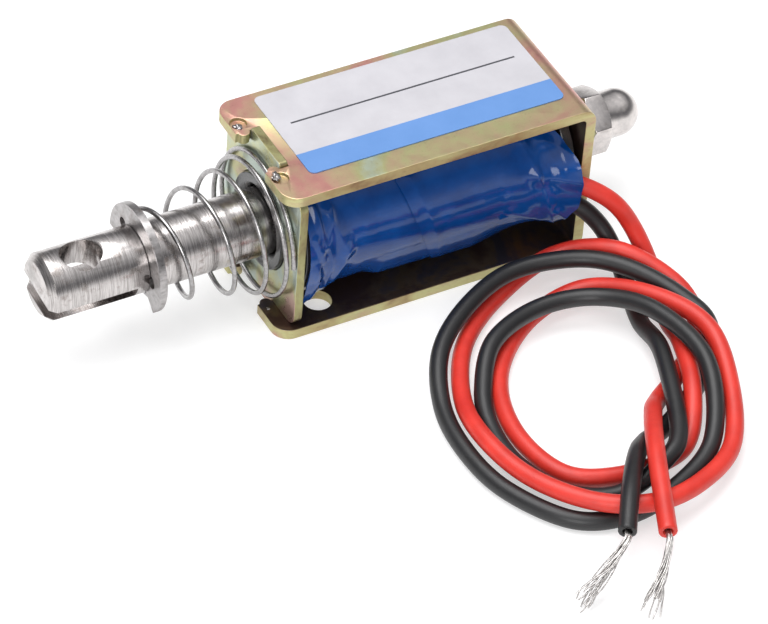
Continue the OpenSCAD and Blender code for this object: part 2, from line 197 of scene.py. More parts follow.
def mix(tree, factor, first, second, blend="MIX"):
    """Mixes two colours."""
    made = add(tree, "ShaderNodeMix", data_type="RGBA", blend_type=blend)
    for key, value in ((0, factor), (6, first), (7, second)):
        if isinstance(value, bpy.types.NodeSocket):
            tree.links.new(value, made.inputs[key])
        else:
            made.inputs[key].default_value = value if key == 0 else (*value, 1)
    return made.outputs[2]


def rough_bump(tree, shader, height, distance_mm, strength=1.0):
    """Wires a height to the shader's normal. distance_mm is how tall a height of one is."""
    made = add(tree, "ShaderNodeBump",
               {"Height": height, "Distance": distance_mm * MM, "Strength": strength})
    tree.links.new(made.outputs["Normal"], shader.inputs["Normal"])
    return made.outputs["Normal"]

print("helpers ready")

# %% [markdown]
# ## Leads
#
# Each lead is a stranded wire in a soft plastic sleeve, 1.6 mm thick. It leaves
# the coil under the tape, drops to the floor and lies in two loops on itself. A
# smooth curve through a list of given points gives its route. The sleeve is
# swept along the curve as rings of points, because the cut end needs a bore that
# a bevelled curve can't show.

# %% Routes of the leads, in millimetres
ROUTE_RED = [
    (9.5, -6.1, 8.6), (12, -6.7, 8.6), (14, -8.1, 8.3), (16.1, -9.6, 6.9),
    (17.6, -10.8, 4.4), (18.2, -13.2, 1.7), (17.1, -16.8, 0.8), (16.1, -20, 1.4),
    (15.1, -23.5, 2.5), (13.2, -28.5, 2.7), (10.8, -32.5, 1.3), (8, -34, 0.8),
    (3, -34, 0.8), (-1, -32, 0.8), (-2.4, -27, 0.8), (-1.4, -21.5, 0.8),
    (1.6, -17, 0.8), (6.5, -13.7, 1), (11.5, -13.9, 2.3), (15.2, -18.5, 3.8),
    (17.3, -24, 4), (16.2, -29.8, 2.7), (13, -35.6, 1.8), (8, -38.7, 2.2),
    (3, -39.5, 2.6), (-1.5, -37, 2.4), (-4.7, -32, 2.1), (-5.8, -26, 2),
    (-4.5, -20.3, 1.1), (-1, -14.5, 0.9), (4.5, -10.4, 0.9), (10.8, -8.9, 2.2),
    (15.3, -12.1, 3.8), (18.7, -17.2, 2.4), (18.1, -21.5, 0.9), (13.8, -25.4, 0.9),
    (10.4, -27.7, 1), (8.2, -30.4, 2.8), (5, -36, 4.5), (1.5, -44, 3.8),
]
ROUTE_BLACK = [
    (9.5, -6.1, 6.6), (12, -6.7, 6.5), (13.8, -7.9, 5.9), (15.3, -9.4, 4.1),
    (15.9, -11.5, 1.9), (15.4, -14.3, 0.9), (14.1, -18.6, 1.1), (12.9, -24, 2.6),
    (9.3, -32.8, 2.7), (6.5, -35.3, 2.3), (2, -36, 0.9), (-2, -34, 0.8),
    (-4.1, -29.5, 0.8), (-4, -24.5, 0.8), (-2.7, -20.7, 1.5), (0.5, -16.7, 2.5),
    (6, -14.7, 2.6), (11, -16, 3.1), (14, -20.7, 4.3), (14.9, -27.8, 4.1),
    (11.7, -34.5, 1.8), (6, -37.5, 0.9), (1, -38.4, 0.8), (-3.3, -36.8, 0.8),
    (-6.5, -31.5, 0.8), (-7.3, -26, 0.8), (-6.5, -20.5, 0.9), (-4, -15.5, 2),
    (0.5, -12, 2.7), (6, -10, 3), (11.5, -11.3, 3.5), (14.9, -14.4, 3.8),
    (17.6, -18.8, 3.2), (18.5, -22.7, 2.3), (15, -27, 1), (9.8, -30.4, 0.8),
    (6.4, -32.2, 1.7), (4, -34.7, 3.3), (1, -38.7, 4.3), (-1.5, -42.5, 3.7),
]
LEAD_R = 0.8
POINTS_PER_SPAN = 14


def smooth_path(points, per_span):
    """A Catmull-Rom curve through the points, with per_span steps between two of them."""
    p = np.array(points, float)
    p = np.vstack([2 * p[0] - p[1], p, 2 * p[-1] - p[-2]])
    path = []
    for i in range(1, len(p) - 2):
        for f in np.arange(per_span) / per_span:
            path.append(0.5 * (2 * p[i] + (p[i + 1] - p[i - 1]) * f
                               + (2 * p[i - 1] - 5 * p[i] + 4 * p[i + 1] - p[i + 2]) * f**2
                               + (3 * p[i] - p[i - 1] - 3 * p[i + 1] + p[i + 2]) * f**3))
    return np.array(path + [p[-2]])


red_path = smooth_path(ROUTE_RED, POINTS_PER_SPAN)
black_path = smooth_path(ROUTE_BLACK, POINTS_PER_SPAN)


def path_length(path):
    """Length of a chain of points."""
    return float(np.linalg.norm(np.diff(path, axis=0), axis=1).sum())

print(f"red lead {path_length(red_path):.0f} mm, black lead {path_length(black_path):.0f} mm")

# %% Sweep a round section along a path
def turning_frames(path):
    """Tangent and two side vectors at each point, carried along without twist."""
    tangent = np.gradient(path, axis=0)
    tangent /= np.linalg.norm(tangent, axis=1)[:, None]
    side = np.cross(tangent[0], (0, 0, 1))
    side /= np.linalg.norm(side)
    sides = [side]
    for t in tangent[1:]:
        side = side - t * (side @ t)
        side = side / np.linalg.norm(side)
        sides.append(side)
    sides = np.array(sides)
    return tangent, sides, np.cross(tangent, sides)


def sweep(path, radii, sections=20):
    """Points and quad faces of a tube along the path, open at both ends."""
    tangent, side, up = turning_frames(path)
    angle = np.linspace(0, 2 * math.pi, sections, endpoint=False)
    ring = (np.cos(angle)[None, :, None] * side[:, None, :]
            + np.sin(angle)[None, :, None] * up[:, None, :])
    points = path[:, None, :] + ring * np.asarray(radii, float)[:, None, None]
    faces = [(i * sections + j, i * sections + (j + 1) % sections,
              (i + 1) * sections + (j + 1) % sections, (i + 1) * sections + j)
             for i in range(len(path) - 1) for j in range(sections)]
    return points.reshape(-1, 3), faces


def lead_mesh(name, path, sections=20, bore=0.42, bore_depth=1.2):
    """The sleeve: a tube whose far end turns in over a rounded lip to a bore."""
    tangent = (path[-1] - path[-2]) / np.linalg.norm(path[-1] - path[-2])
    lip = [(-0.10, LEAD_R), (-0.03, LEAD_R - 0.03), (0.0, LEAD_R - 0.10),
           (0.0, bore + 0.06), (-0.06, bore), (-bore_depth, bore), (-bore_depth - 0.01, 0.02)]
    body = path[:-1]
    spine = np.vstack([body, [path[-1] + tangent * along for along, radius in lip]])
    radii = [LEAD_R] * len(body) + [radius for along, radius in lip]
    frames_path = np.vstack([path[:-1], [path[-1] + tangent * 0.05 * k for k in range(len(lip))]])
    straight, faces = sweep(frames_path, radii, sections)
    shift = np.repeat(spine - frames_path, sections, axis=0)
    points = straight + shift
    start = len(points)
    points = np.vstack([points, path[0], spine[-1]])
    last = (len(spine) - 1) * sections
    faces += [(start, (j + 1) % sections, j) for j in range(sections)]
    faces += [(start + 1, last + j, last + (j + 1) % sections) for j in range(sections)]
    return new_piece(name, points, faces)


red_lead = lead_mesh("red_lead", red_path)
black_lead = lead_mesh("black_lead", black_path)
print("lead faces:", len(red_lead.data.polygons), len(black_lead.data.polygons))

# %% [markdown]
# The sleeve is soft plastic: dull, slightly dusty, with a broad weak highlight.
# Its colour varies a little along the lead and it is a bit paler where it was
# rubbed, which fine noise in the colour and the roughness gives.

# %% Sleeve finishes
def sleeve_finish(name, dark, light, rough):
    """Soft plastic whose colour runs between two values."""
    finish, tree, shader = new_finish(name, light, roughness=rough, coat_weight=0.08,
                                      coat_roughness=0.35)
    place = in_mm(tree)
    cloud = noise(tree, place, 0.35, 4)
    colour = ramp(tree, cloud, [(0.3, dark), (0.7, light)])
    speck = noise(tree, place, 6.0, 5, 0.7)
    tree.links.new(mix(tree, sum_up(tree, "MULTIPLY", speck, 0.25), colour, light),
                   shader.inputs["Base Color"])
    tree.links.new(sum_up(tree, "ADD", sum_up(tree, "MULTIPLY", speck, 0.2), rough - 0.1),
                   shader.inputs["Roughness"])
    rough_bump(tree, shader, noise(tree, place, 3.0, 4), 0.02, 0.35)
    return finish


red_sleeve = sleeve_finish("red_sleeve", (0.52, 0.020, 0.012), (0.70, 0.036, 0.022), 0.46)
black_sleeve = sleeve_finish("black_sleeve", (0.007, 0.007, 0.008), (0.013, 0.013, 0.014), 0.44)
red_lead.data.materials.append(red_sleeve)
black_lead.data.materials.append(black_sleeve)

print("sleeves:", red_sleeve.name, black_sleeve.name)

# %% [markdown]
# ## Bare strands
#
# Where the sleeve is stripped, the strands of the wire fan out. They all follow
# the same rule, so Geometry Nodes make them: the line of the bundle is copied
# once for each strand, each copy spirals out from the middle by its own amount
# and wobbles, is cut at its own length, and gets a round section.

# %% Strand tree
def group_input(tree, name, kind, default=None):
    """Adds a named input to a node group and returns its identifier."""
    socket = tree.interface.new_socket(name=name, in_out="INPUT", socket_type=kind)
    if default is not None:
        socket.default_value = default
    return socket.identifier


def vector_math(tree, operation, *values):
    """A Vector Math node over the given values or sockets."""
    return add(tree, "ShaderNodeVectorMath", dict(enumerate(values)),
               operation=operation).outputs[0]


def scaled(tree, vector, factor):
    """A vector times a number."""
    return add(tree, "ShaderNodeVectorMath", {0: vector, "Scale": factor},
               operation="SCALE").outputs[0]


def random_number(tree, low, high, index, seed):
    """One random number for each index, the same at every run."""
    return add(tree, "FunctionNodeRandomValue",
               {2: low, 3: high, "ID": index, "Seed": seed}).outputs[1]


strand_tree = bpy.data.node_groups.new("fanned_strands", "GeometryNodeTree")
strand_tree.interface.new_socket(name="Geometry", in_out="INPUT",
                                 socket_type="NodeSocketGeometry")
STRAND_INPUTS = {
    "Strands": group_input(strand_tree, "Strands", "NodeSocketInt", 16),
    "Strand radius": group_input(strand_tree, "Strand radius", "NodeSocketFloat", 0.00006),
    "Bundle radius": group_input(strand_tree, "Bundle radius", "NodeSocketFloat", 0.0003),
    "Fan radius": group_input(strand_tree, "Fan radius", "NodeSocketFloat", 0.0012),
    "Twist": group_input(strand_tree, "Twist", "NodeSocketFloat", 3.0),
    "Wobble": group_input(strand_tree, "Wobble", "NodeSocketFloat", 0.0004),
    "Seed": group_input(strand_tree, "Seed", "NodeSocketInt", 1),
    "Material": group_input(strand_tree, "Material", "NodeSocketMaterial"),
}
strand_tree.interface.new_socket(name="Geometry", in_out="OUTPUT",
                                 socket_type="NodeSocketGeometry")


def build_strand_tree(tree):
    """From one line to a bundle of strands that fan out."""
    given = add(tree, "NodeGroupInput").outputs
    line = add(tree, "GeometryNodeResampleCurve", {"Curve": given["Geometry"], "Count": 26})
    copies = add(tree, "GeometryNodeDuplicateElements",
                 {"Geometry": line.outputs[0], "Amount": given["Strands"]}, domain="SPLINE")
    number = copies.outputs["Duplicate Index"]
    seed = given["Seed"]
    reach = random_number(tree, 0.72, 1.0, number, seed)
    along = add(tree, "GeometryNodeSplineParameter").outputs["Factor"]
    # each strand leaves the bundle later or sooner, and opens faster towards its end
    opening = sum_up(tree, "POWER", along, random_number(tree, 1.2, 2.6, number,
                                                         sum_up(tree, "ADD", seed, 1)))
    inner = sum_up(tree, "MULTIPLY", given["Bundle radius"],
                   sum_up(tree, "SQRT", random_number(tree, 0.02, 1.0, number,
                                                      sum_up(tree, "ADD", seed, 2))))
    outer = sum_up(tree, "MULTIPLY", given["Fan radius"],
                   random_number(tree, 0.15, 1.0, number, sum_up(tree, "ADD", seed, 3)))
    spread = sum_up(tree, "ADD", inner, sum_up(tree, "MULTIPLY", outer, opening))
    turn = sum_up(tree, "ADD", sum_up(tree, "MULTIPLY", number, 2.39996),
                  sum_up(tree, "MULTIPLY", given["Twist"], along))
    ahead = add(tree, "GeometryNodeInputTangent").outputs[0]
    across = add(tree, "GeometryNodeInputNormal").outputs[0]
    third = vector_math(tree, "CROSS_PRODUCT", ahead, across)
    offset = vector_math(tree, "ADD",
                         scaled(tree, across, sum_up(tree, "MULTIPLY", spread,
                                                     sum_up(tree, "COSINE", turn))),
                         scaled(tree, third, sum_up(tree, "MULTIPLY", spread,
                                                    sum_up(tree, "SINE", turn))))
    here = add(tree, "GeometryNodeInputPosition").outputs[0]
    sample = vector_math(tree, "ADD", scaled(tree, here, 380.0),
                         add(tree, "ShaderNodeCombineXYZ",
                             {"X": sum_up(tree, "MULTIPLY", number, 7.3), "Y": seed}).outputs[0])
    wander = add(tree, "ShaderNodeTexNoise", {"Vector": sample, "Scale": 1.0, "Detail": 1.0})
    wander = vector_math(tree, "SUBTRACT", wander.outputs["Color"], (0.5, 0.5, 0.5))
    wander = scaled(tree, wander, sum_up(tree, "MULTIPLY", given["Wobble"], opening))
    moved = add(tree, "GeometryNodeSetPosition",
                {"Geometry": copies.outputs[0],
                 "Offset": vector_math(tree, "ADD", offset, wander)})
    cut = add(tree, "GeometryNodeTrimCurve",
              {"Curve": moved.outputs[0], 3: reach}, mode="FACTOR")
    # no strand dips into the floor
    now = add(tree, "ShaderNodeSeparateXYZ",
              {0: add(tree, "GeometryNodeInputPosition").outputs[0]})
    floor_safe = add(tree, "ShaderNodeCombineXYZ",
                     {"X": now.outputs["X"], "Y": now.outputs["Y"],
                      "Z": sum_up(tree, "MAXIMUM", now.outputs["Z"], 0.00008)}).outputs[0]
    lifted = add(tree, "GeometryNodeSetPosition",
                 {"Geometry": cut.outputs[0], "Position": floor_safe})
    section = add(tree, "GeometryNodeCurvePrimitiveCircle",
                  {"Resolution": 7, "Radius": given["Strand radius"]})
    solid = add(tree, "GeometryNodeCurveToMesh",
                {"Curve": lifted.outputs[0], "Profile Curve": section.outputs[0],
                 "Fill Caps": True})
    real = add(tree, "GeometryNodeRealizeInstances", {"Geometry": solid.outputs[0]})
    coated = add(tree, "GeometryNodeSetMaterial",
                 {"Geometry": real.outputs[0], "Material": given["Material"]})
    tree.links.new(coated.outputs[0], add(tree, "NodeGroupOutput").inputs[0])


build_strand_tree(strand_tree)
print("strand tree:", len(strand_tree.nodes), "nodes")

# %% Turn a tree's result into a plain mesh
def grow(name, seed_object, tree, inputs, values):
    """Runs a Geometry Nodes tree on an object and keeps the result as a plain mesh piece."""
    modifier = seed_object.modifiers.new(tree.name, "NODES")
    modifier.node_group = tree
    for key, value in values.items():
        modifier[inputs[key]] = value
    bpy.context.view_layer.update()
    evaluated = seed_object.evaluated_get(bpy.context.evaluated_depsgraph_get())
    mesh = bpy.data.meshes.new_from_object(evaluated)
    mesh.name = name
    mesh.shade_smooth()
    piece = bpy.data.objects.new(name, mesh)
    bpy.context.scene.collection.objects.link(piece)
    bpy.data.objects.remove(seed_object)
    return piece


def curve_object(name, points_mm):
    """A poly curve through points in millimetres, as the seed of a tree."""
    data = bpy.data.curves.new(name, "CURVE")
    data.dimensions = "3D"
    spline = data.splines.new("POLY")
    spline.points.add(len(points_mm) - 1)
    for point, place in zip(spline.points, points_mm):
        point.co = (*(np.asarray(place, float) * MM), 1)
    made = bpy.data.objects.new(name, data)
    bpy.context.scene.collection.objects.link(made)
    return made


print("a tree's result can be kept as a mesh")

# %% [markdown]
# The strands are tinned copper: bright grey, not quite even.

# %% Strands of both leads
tinned, tree, shader = new_finish("tinned_strand", (0.62, 0.60, 0.58), 1.0, 0.3)
place = in_mm(tree)
tree.links.new(ramp(tree, noise(tree, place, 2.5), [(0.35, (0.36, 0.34, 0.33)),
                                                     (0.65, (0.72, 0.70, 0.68))]),
               shader.inputs["Base Color"])

STRAND_LENGTH = 7.5
STRAND_AIM = {"red": (-0.75, -0.66, 0), "black": (-0.97, -0.24, 0)}


def strand_line(path, aim):
    """The middle line of a bundle: straight out of the sleeve, then down to the floor."""
    end = path[-1]
    ahead = (path[-1] - path[-2]) / np.linalg.norm(path[-1] - path[-2])
    aim = np.array(aim)
    rise = end + STRAND_LENGTH * (0.25 * ahead + 0.3 * aim)
    tip = end + STRAND_LENGTH * (0.3 * ahead + 0.7 * aim)
    points = [end - 0.9 * ahead, end, end + 0.9 * ahead,
              (rise[0], rise[1], end[2] / 2 + 0.4), (tip[0], tip[1], 0.5)]
    return smooth_path(points, 8)


strands = {}
for lead, path, seed in (("red", red_path, 4), ("black", black_path, 11)):
    line = curve_object("strand_line", strand_line(path, STRAND_AIM[lead]))
    strands[lead] = grow(f"{lead}_strands", line, strand_tree, STRAND_INPUTS,
                         {"Strands": 16, "Strand radius": 0.065 * MM,
                          "Bundle radius": 0.26 * MM, "Fan radius": 0.95 * MM,
                          "Twist": 3.2, "Wobble": 1.3 * MM, "Seed": seed,
                          "Material": tinned})
    print(lead, "strands:", len(strands[lead].data.polygons), "faces")

# %% Attach the leads to the frame and hide their CAD nodes
for lead, sleeve, path in (("red", red_lead, red_path), ("black", black_lead, black_path)):
    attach(sleeve, "frame")
    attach(strands[lead], "frame")
    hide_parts(f"lead_{lead}")
    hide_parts(f"strands_{lead}")
    print(lead, "lead exit", np.round(path[0], 1))

# %% [markdown]
# ## Broken edges on the hard parts
#
# A sheet that was punched and a bar that was turned have no truly sharp edge, and
# the thin bright line that a worn edge catches is what makes metal look like
# metal. A bevel could be modelled face by face. Here each CAD piece is copied,
# its loose triangles are merged into flat faces, and a Bevel modifier breaks only
# the edges that turn by more than 35 degrees. The modifier's result is kept as a
# plain mesh.

# %% Helper for the hard parts
EDGE_ANGLE = math.radians(35)
FACET_ANGLE = math.radians(25)


def merged_copy(node):
    """The mesh of a CAD node with its doubles merged and its flat faces joined."""
    build = bmesh.new()
    build.from_mesh(nodes[node].data)
    bmesh.ops.remove_doubles(build, verts=build.verts, dist=1e-6)
    bmesh.ops.dissolve_limit(build, angle_limit=math.radians(0.5),
                             verts=build.verts, edges=build.edges)
    mesh = bpy.data.meshes.new(node)
    build.to_mesh(mesh)
    build.free()
    return mesh


def keep_result(piece):
    """Replaces the piece's mesh by what its modifiers make of it."""
    bpy.context.view_layer.update()
    evaluated = piece.evaluated_get(bpy.context.evaluated_depsgraph_get())
    mesh = bpy.data.meshes.new_from_object(evaluated)
    piece.modifiers.clear()
    piece.data = mesh
    mesh.name = piece.name
    return mesh


def hard_part(name, node, body, finishes, edge_mm=0.08, choose=None):
    """A CAD node with broken edges. choose(place_mm, normal) picks the finish of a face."""
    mesh = merged_copy(node)
    mesh.materials.clear()
    for finish in finishes:
        mesh.materials.append(finish)
    for face in mesh.polygons:
        face.material_index = choose(face.center / MM, face.normal) if choose else 0
    mesh.shade_smooth()
    piece = bpy.data.objects.new(name, mesh)
    bpy.context.scene.collection.objects.link(piece)
    edges = piece.modifiers.new("broken_edges", "BEVEL")
    edges.width = edge_mm * MM
    edges.segments = 2
    edges.limit_method = "ANGLE"
    edges.angle_limit = EDGE_ANGLE
    keep_result(piece).set_sharp_from_angle(angle=FACET_ANGLE)
    dress(piece, body, node)
    return piece


def dress(piece, body, *stands_for):
    """Attaches the piece to the body that it rides and hides the CAD nodes that it stands for."""
    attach(piece, body)
    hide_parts(*stands_for)


print("hard parts can be copied from", len(nodes), "nodes")

# %% [markdown]
# ## Plated sheet
#
# The strip and the pole plate are zinc plated and yellow passivated. The film is
# so thin that it shows interference colours: pink, straw, yellow green and a pale
# blue green run into each other within a few millimetres. Slow noise through a
# colour ramp gives that play. Faces that were sheared take it in long streaks
# with brown specks. The faces that turn inward get darker colours, which are
# painted shade for the shadow and dark reflections inside the frame.

# %% Plated finishes
def plated_finish(name, stops, stretch, scale, roughness, dirt, blush=0.0):
    """blush shifts the play of colours towards the first stop at the front end."""
    finish, tree, shader = new_finish(name, stops[1][1], 0.85, roughness)
    place = in_mm(tree, stretch)
    play = noise(tree, place, scale, 3, 0.5, 0.8)
    fine = noise(tree, place, 9 * scale, 5, 0.7)
    mottle = sum_up(tree, "ADD", play, sum_up(tree, "MULTIPLY", sum_up(
        tree, "SUBTRACT", fine, 0.5), 0.16))
    if blush:
        x = add(tree, "ShaderNodeSeparateXYZ", {0: place}).outputs["X"]
        front = add(tree, "ShaderNodeMapRange",
                    {"Value": x, "From Min": -15.0, "From Max": -5.0, "To Min": blush, "To Max": 0.0})
        mottle = sum_up(tree, "SUBTRACT", mottle, front.outputs[0])
    colour = ramp(tree, mottle, stops)
    speck = ramp(tree, noise(tree, place, 3.0, 6, 0.75), [(0.56, (0, 0, 0)), (0.70, (1, 1, 1))])
    speck = sum_up(tree, "MULTIPLY", speck, dirt)
    tree.links.new(mix(tree, speck, colour, (0.16, 0.09, 0.045)), shader.inputs["Base Color"])
    tree.links.new(sum_up(tree, "ADD", sum_up(tree, "MULTIPLY", fine, 0.25), roughness - 0.12),
                   shader.inputs["Roughness"])
    rough_bump(tree, shader, fine, 0.012, 0.5)
    return finish


PINK, TAN, LIME, PALE_TEAL = (0.62, 0.30, 0.26), (0.58, 0.42, 0.27), (0.50, 0.49, 0.25), (0.47, 0.55, 0.47)
plated_face = plated_finish(
    "plated_face", [(0.34, PINK), (0.44, TAN), (0.54, LIME), (0.64, PALE_TEAL), (0.74, TAN)],
    (1, 1, 1), 0.11, 0.34, 0.25, 0.13)
plated_plate = plated_finish(
    "plated_plate", [(0.36, (0.50, 0.33, 0.28)), (0.46, LIME), (0.54, (0.46, 0.53, 0.46)),
                     (0.72, (0.40, 0.47, 0.43))], (1, 1, 1), 0.12, 0.30, 0.2)
plated_cut = plated_finish(
    "plated_cut", [(0.30, (0.28, 0.18, 0.10)), (0.42, (0.44, 0.36, 0.18)), (0.54, (0.52, 0.50, 0.25)),
                   (0.64, (0.50, 0.42, 0.24)), (0.74, (0.52, 0.29, 0.25))],
    (0.45, 1, 1), 0.35, 0.40, 0.4)
plate_rim = plated_finish(
    "plate_rim", [(0.34, (0.14, 0.10, 0.06)), (0.46, (0.30, 0.27, 0.13)), (0.58, (0.38, 0.37, 0.18)),
                  (0.70, (0.24, 0.17, 0.12))], (1, 1, 0.4), 0.5, 0.38, 0.4)
# painted shade: dark colours on the frame's inner walls stand for the shadow and dark reflections inside
# it
plated_inside = plated_finish(
    "plated_inside", [(0.40, (0.10, 0.06, 0.05)), (0.52, (0.17, 0.12, 0.08)), (0.64, (0.09, 0.08, 0.10))],
    (1, 1, 1), 0.2, 0.34, 0.3)
print("plated finishes:", plated_face.name, plated_cut.name, plated_inside.name)

# %% Strip and pole plate
FACE, CUT, PAINTED_SHADE = 0, 1, 2


def strip_face(place, normal):
    """Which finish a face of the strip takes: its sides are cut, its inner walls get painted shade."""
    if abs(normal.y) > 0.7:
        return CUT
    # the frame's inner walls take the dark finish, which is painted shade
    inner = ((normal.z > 0.7 and place.z < 2) or (normal.z < -0.7 and place.z > FRAME_Z - 2)
             or (normal.x < -0.7 and place.x > FRAME_X[1] - 2))
    if inner:
        return PAINTED_SHADE
    return CUT if normal.x < -0.7 else FACE


def plate_face(place, normal):
    """The pole plate's two flat sides are rolled, its rim is punched."""
    return FACE if abs(normal.x) > 0.7 else CUT


SHEET_FINISHES = (plated_face, plated_cut, plated_inside)
hard_part("frame_strip_plated", "frame_strip", "frame", SHEET_FINISHES, 0.12, strip_face)
hard_part("front_plate_plated", "front_plate", "frame", (plated_plate, plate_rim), 0.08, plate_face)
print("sheet metal done")

# %% [markdown]
# ## Turned and stamped steel
#
# The plunger is turned from a bar, so its scratches run round it: noise that is
# squeezed along the axis and stretched across it makes them. Handling leaves
# darker blotches. The stamped clip and the drawn wire have the same steel with a
# duller or brighter face, so one function makes them all.

# %% Steel finishes
def steel_finish(name, bright, dark, roughness, stretch=(1, 1, 1), marks=6.0, stain=0.5,
                 depth=0.012):
    """Bare steel: marks run along the stretched axes, stain is how strong the blotches are."""
    finish, tree, shader = new_finish(name, bright, 1.0, roughness)
    marked = noise(tree, in_mm(tree, stretch), marks, 4, 0.7)
    colour = ramp(tree, marked, [(0.36, dark), (0.60, bright)])
    place = in_mm(tree)
    blotch = ramp(tree, noise(tree, place, 0.7, 6, 0.68), [(0.55, (0, 0, 0)), (0.68, (1, 1, 1))])
    blotch = sum_up(tree, "MULTIPLY", blotch, stain)
    tree.links.new(mix(tree, blotch, colour, (0.16, 0.12, 0.10)), shader.inputs["Base Color"])
    rough = sum_up(tree, "ADD", sum_up(tree, "MULTIPLY", marked, 0.22), roughness - 0.1)
    tree.links.new(sum_up(tree, "ADD", rough, sum_up(tree, "MULTIPLY", blotch, 0.2)),
                   shader.inputs["Roughness"])
    rough_bump(tree, shader, marked, depth, 0.6)
    return finish


ROUND_X = (1, 0.04, 0.04)
turned_steel = steel_finish("turned_steel", (0.60, 0.57, 0.56), (0.34, 0.32, 0.31), 0.22,
                            ROUND_X, 11.0, 0.6, 0.006)
core_steel = steel_finish("core_steel", (0.56, 0.54, 0.52), (0.34, 0.32, 0.31), 0.36,
                          ROUND_X, 4.0)
clip_steel = steel_finish("clip_steel", (0.44, 0.42, 0.42), (0.28, 0.27, 0.265), 0.30,
                          (1, 1, 2), 1.5, 0.5, 0.006)
wire_steel = steel_finish("wire_steel", (0.42, 0.41, 0.41), (0.28, 0.27, 0.27), 0.24, (1, 1, 1), 2.0, 0.2)
nickel = steel_finish("nickel", (0.66, 0.62, 0.60), (0.54, 0.51, 0.50), 0.17, (1, 1, 1), 1.0, 0.25, 0.004)
print("steel finishes:", turned_steel.name, clip_steel.name, nickel.name)

# %% Plunger, rod, core, clip and nut
hard_part("plunger_turned", "plunger", "plunger", [turned_steel], 0.10)
hard_part("push_rod_ground", "push_rod", "plunger", [turned_steel], 0.06)
hard_part("fixed_core_turned", "fixed_core", "frame", [core_steel], 0.06)
hard_part("e_clip_stamped", "e_clip", "clip", [clip_steel], 0.07)
hard_part("cap_nut_nickel", "cap_nut", "plunger", [nickel], 0.07)
print("turned parts done")

# %% [markdown]
# The pole plate is held by staking: a punch crushes the strip beside each tongue,
# and the metal that it pushes out tears through the plating and shows as a small
# bright lump. Each lump is a ball that noise has beaten out of shape, because no
# two are alike and they are too small for more.

# %% Stake lumps
def stake_lumps(name, places, size_mm, finish):
    """Crushed lumps in one piece: places are the middles, size_mm the half sizes."""
    build = bmesh.new()
    for place in places:
        ball = bmesh.ops.create_icosphere(build, subdivisions=4, radius=1.0)["verts"]
        for vertex in ball:
            beat = noise_field.noise(vertex.co * 1.7 + Vector(place)) * 0.5
            beat += noise_field.noise(vertex.co * 5.0 + Vector(place)) * 0.18
            out = vertex.co * (0.9 + beat)
            vertex.co = Vector(c * s + p for c, s, p in zip(out, size_mm, place)) * MM
    mesh = bpy.data.meshes.new(name)
    build.to_mesh(mesh)
    build.free()
    mesh.shade_smooth()
    mesh.materials.append(finish)
    piece = bpy.data.objects.new(name, mesh)
    bpy.context.scene.collection.objects.link(piece)
    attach(piece, "frame")
    return piece


STAKE_X = -14.35
STAKE_Y = 3.45
STAKE_HEIGHTS = (FRAME_Z - 0.1, 0.75)
stake_places = [(STAKE_X, side * STAKE_Y, z) for side in (-1, 1) for z in STAKE_HEIGHTS]
stake_lumps("stake_lumps", stake_places, (0.42, 0.55, 0.30), clip_steel)
print("stake lumps done")

# %% [markdown]
# ## Conical spring
#
# The wire starts round the plunger behind the clip and opens turn by turn until
# it rests on the pole plate. The turns lie closer towards the plate, so that they
# nest when the spring is pressed flat. That is one rule from end to end, and
# Geometry Nodes follow it: a line gets enough points, each point moves to its
# place on the cone, and a round section runs along it.

# %% Spring tree
spring_tree = bpy.data.node_groups.new("conical_spring", "GeometryNodeTree")
spring_tree.interface.new_socket(name="Geometry", in_out="INPUT", socket_type="NodeSocketGeometry")
SPRING_INPUTS = {name: group_input(spring_tree, name, kind, default) for name, kind, default in (
    ("Turns", "NodeSocketFloat", 5.25), ("Steps", "NodeSocketInt", 380),
    ("Start", "NodeSocketFloat", -0.0247), ("End", "NodeSocketFloat", -0.0138),
    ("First radius", "NodeSocketFloat", 0.00345), ("Growth", "NodeSocketFloat", 0.00068),
    ("Last radius", "NodeSocketFloat", 0.0066), ("Height", "NodeSocketFloat", 0.008),
    ("Sag", "NodeSocketFloat", 0.00018), ("Wire radius", "NodeSocketFloat", 0.000225),
    ("Material", "NodeSocketMaterial", None))}
spring_tree.interface.new_socket(name="Geometry", in_out="OUTPUT", socket_type="NodeSocketGeometry")


